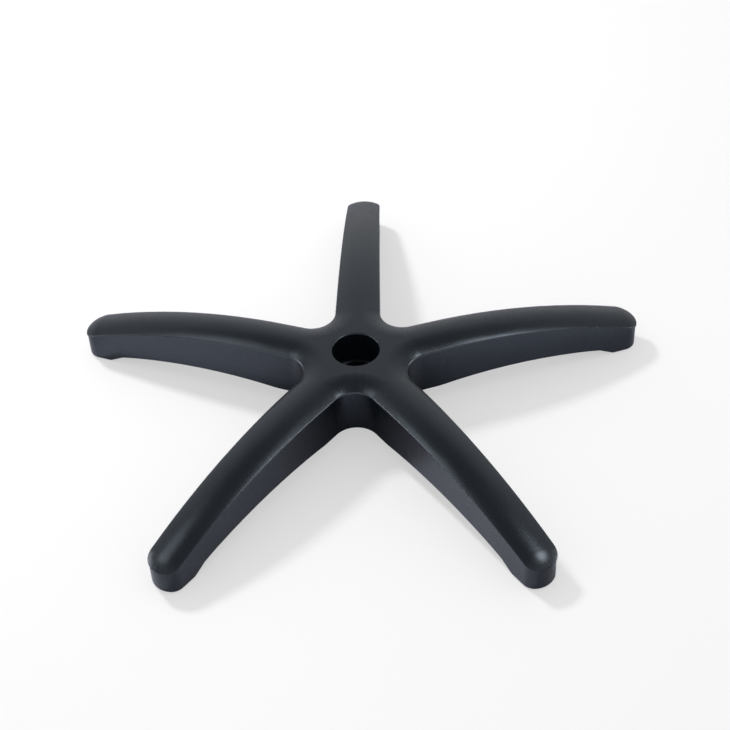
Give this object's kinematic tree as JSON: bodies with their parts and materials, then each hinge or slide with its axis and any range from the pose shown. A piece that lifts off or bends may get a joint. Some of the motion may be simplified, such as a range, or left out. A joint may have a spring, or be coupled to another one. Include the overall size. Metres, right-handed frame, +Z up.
{
  "type": "office chair five star base",
  "caption": "One-piece moulded star base for an office chair: arched arms droop from a hub with a gas-lift taper to feet with caster sockets, ribbed underneath.",
  "frame": {"origin": "on the hub axis, in the plane of the caster feet", "axes": "+Z up along the hub axis, towards the gas lift; +Y along one arm; +X to the right of that arm seen from above"},
  "size_m": [0.6108, 0.5832, 0.0776],
  "materials": {
    "nylon": "satin, finely grained black"
  },
  "bodies": {
    "root": {"star_base": "nylon"}
  },
  "joints": []
}
